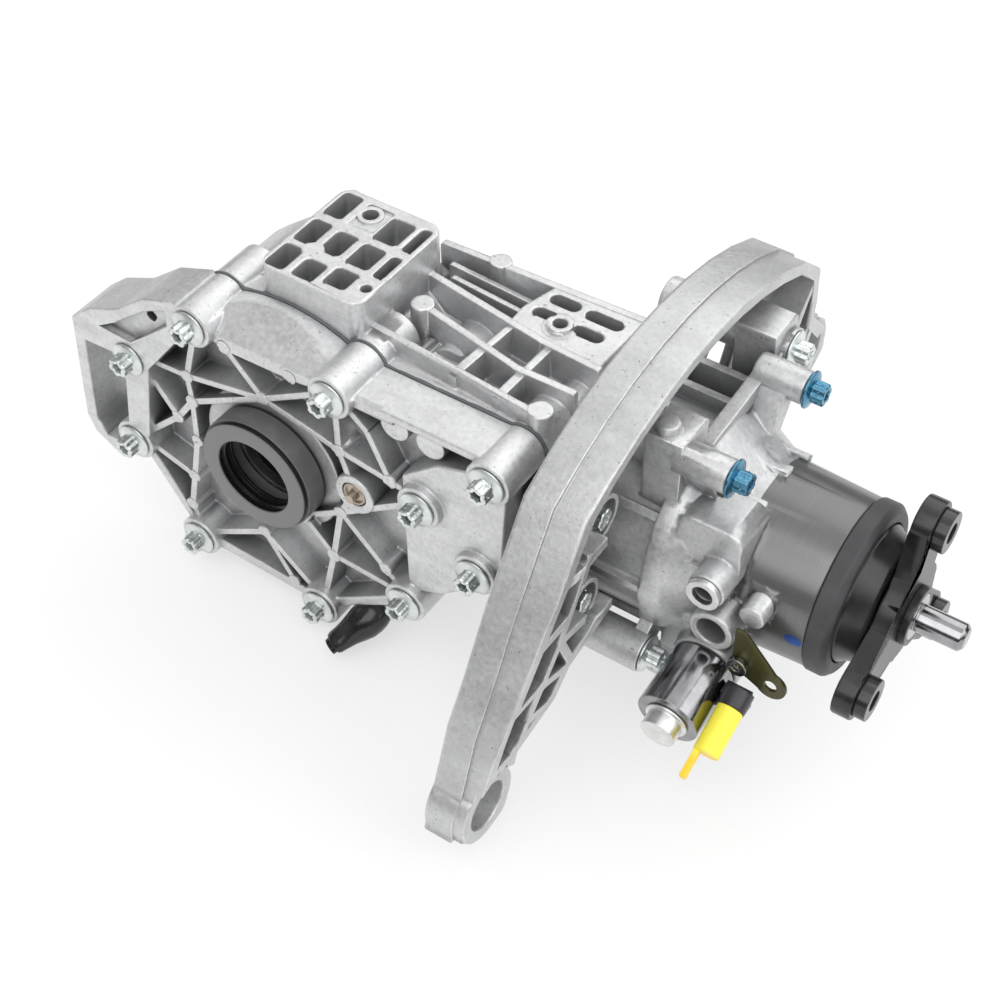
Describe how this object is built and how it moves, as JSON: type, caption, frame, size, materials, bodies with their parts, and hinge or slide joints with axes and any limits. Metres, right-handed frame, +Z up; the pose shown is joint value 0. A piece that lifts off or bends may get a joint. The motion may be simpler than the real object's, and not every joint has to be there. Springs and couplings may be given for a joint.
{
  "type": "rear differential",
  "caption": "Car rear axle drive with ribbed light alloy housing, bevel gears, plate clutch, three arm input flange and a cast arch bracket.",
  "frame": {"origin": "centre of the left axle seal's outer face", "axes": "+X forward along the input shaft, +Y along the axle towards the right drive shaft, +Z up"},
  "size_m": [0.459, 0.352, 0.2116],
  "materials": {
    "cast_aluminium": "cast",
    "machined_steel": "machined",
    "zinc_bolt": "zinc plated",
    "blue_zinc_bolt": "blue zinc plated",
    "black_rubber": "matt",
    "grey_sealant": "matt",
    "black_flange": "painted black",
    "black_plastic": "matt",
    "yellow_plastic": "satin",
    "gear_steel": "ground",
    "cage_brass": "pressed",
    "friction_lining": "fibre",
    "tab_plate": "yellow passivated"
  },
  "bodies": {
    "housing": {"main_housing": "cast_aluminium", "side_cover": "cast_aluminium", "cover_gasket": "grey_sealant", "cover_bolts": "zinc_bolt", "left_seal": "black_rubber", "right_seal": "black_rubber", "level_plug": "machined_steel", "drain_plug": "machined_steel", "breather_hose": "black_rubber", "mount_bracket": "cast_aluminium", "bracket_bolts": "zinc_bolt", "clutch_housing": "cast_aluminium", "housing_bolts": "zinc_bolt", "tube_bolts": "blue_zinc_bolt", "dust_ring": "black_rubber", "input_seal": "black_rubber", "input_bearing_outer": "gear_steel", "head_bearing_cup": "gear_steel", "tail_bearing_cup": "gear_steel", "side_bearing_cups": "gear_steel", "port_ring": "machined_steel", "solenoid_can": "machined_steel", "solenoid_plug": "machined_steel", "connector": "black_plastic", "connector_cap": "yellow_plastic", "retaining_tab": "tab_plate", "tab_screw": "machined_steel"},
    "carrier": {"differential_case": "black_flange", "ring_gear": "gear_steel", "ring_gear_bolts": "zinc_bolt", "cross_pin": "machined_steel", "side_bearing_cones": "gear_steel"},
    "left_side_gear": {"side_gear_left": "gear_steel"},
    "right_side_gear": {"side_gear_right": "gear_steel"},
    "upper_planet": {"planet_gear_upper": "gear_steel"},
    "lower_planet": {"planet_gear_lower": "gear_steel"},
    "side_rollers": {"side_bearing_cages": "cage_brass", "side_bearing_rollers": "machined_steel"},
    "pinion": {"pinion_shaft": "gear_steel", "pinion_nut": "gear_steel", "head_bearing_cone": "gear_steel", "tail_bearing_cone": "gear_steel", "clutch_hub": "gear_steel", "hub_plates": "friction_lining"},
    "head_rollers": {"head_bearing_cage": "cage_brass", "head_bearing_rollers": "machined_steel"},
    "tail_rollers": {"tail_bearing_cage": "cage_brass", "tail_bearing_rollers": "machined_steel"},
    "input": {"input_shaft": "machined_steel", "input_flange": "black_flange", "flange_bushes": "black_rubber", "flange_nut": "gear_steel", "seal_shield": "black_flange", "input_bearing_inner": "gear_steel", "clutch_drum": "gear_steel", "drum_plates": "gear_steel"},
    "input_balls": {"input_bearing_balls": "machined_steel"},
    "piston": {"clutch_piston": "cast_aluminium"},
    "plunger": {"solenoid_plunger": "machined_steel"}
  },
  "joints": [
    {"name": "ring_gear_spin", "type": "hinge", "parent": "housing", "child": "carrier", "pos_m": [0, 0.101, 0], "axis": [0, 1, 0], "continuous": true},
    {"name": "pinion_spin", "type": "hinge", "parent": "housing", "child": "pinion", "pos_m": [0, 0.101, 0], "axis": [1, 0, 0], "continuous": true},
    {"name": "side_rollers_spin", "type": "hinge", "parent": "housing", "child": "side_rollers", "pos_m": [0, 0.101, 0], "axis": [0, 1, 0], "continuous": true},
    {"name": "head_rollers_spin", "type": "hinge", "parent": "housing", "child": "head_rollers", "pos_m": [0, 0.101, 0], "axis": [1, 0, 0], "continuous": true},
    {"name": "tail_rollers_spin", "type": "hinge", "parent": "housing", "child": "tail_rollers", "pos_m": [0, 0.101, 0], "axis": [1, 0, 0], "continuous": true},
    {"name": "left_gear_spin", "type": "hinge", "parent": "carrier", "child": "left_side_gear", "pos_m": [0, 0.079, 0], "axis": [0, 1, 0], "continuous": true},
    {"name": "right_gear_spin", "type": "hinge", "parent": "carrier", "child": "right_side_gear", "pos_m": [0, 0.079, 0], "axis": [0, 1, 0], "continuous": true},
    {"name": "upper_planet_spin", "type": "hinge", "parent": "carrier", "child": "upper_planet", "pos_m": [0, 0.079, 0], "axis": [0, 0, 1], "continuous": true},
    {"name": "lower_planet_spin", "type": "hinge", "parent": "carrier", "child": "lower_planet", "pos_m": [0, 0.079, 0], "axis": [0, 0, 1], "continuous": true},
    {"name": "input_spin", "type": "hinge", "parent": "housing", "child": "input", "pos_m": [0, 0.101, 0], "axis": [1, 0, 0], "continuous": true},
    {"name": "input_balls_spin", "type": "hinge", "parent": "housing", "child": "input_balls", "pos_m": [0, 0.101, 0], "axis": [1, 0, 0], "continuous": true},
    {"name": "piston_slide", "type": "slide", "parent": "housing", "child": "piston", "axis": [1, 0, 0], "range_m": [0, 0.001]},
    {"name": "plunger_slide", "type": "slide", "parent": "housing", "child": "plunger", "axis": [0, -0.989, -0.1478], "range_m": [0, 0.002]}
  ],
  "couplings": [
    {"joint": "pinion_spin", "follows": "ring_gear_spin", "ratio": 2.5385},
    {"joint": "side_rollers_spin", "follows": "ring_gear_spin", "ratio": 0.452},
    {"joint": "head_rollers_spin", "follows": "ring_gear_spin", "ratio": 1.0966},
    {"joint": "tail_rollers_spin", "follows": "ring_gear_spin", "ratio": 1.0966},
    {"joint": "right_gear_spin", "follows": "left_gear_spin", "ratio": -1},
    {"joint": "upper_planet_spin", "follows": "left_gear_spin", "ratio": 1.4},
    {"joint": "lower_planet_spin", "follows": "left_gear_spin", "ratio": -1.4},
    {"joint": "input_balls_spin", "follows": "input_spin", "ratio": 0.38}
  ]
}
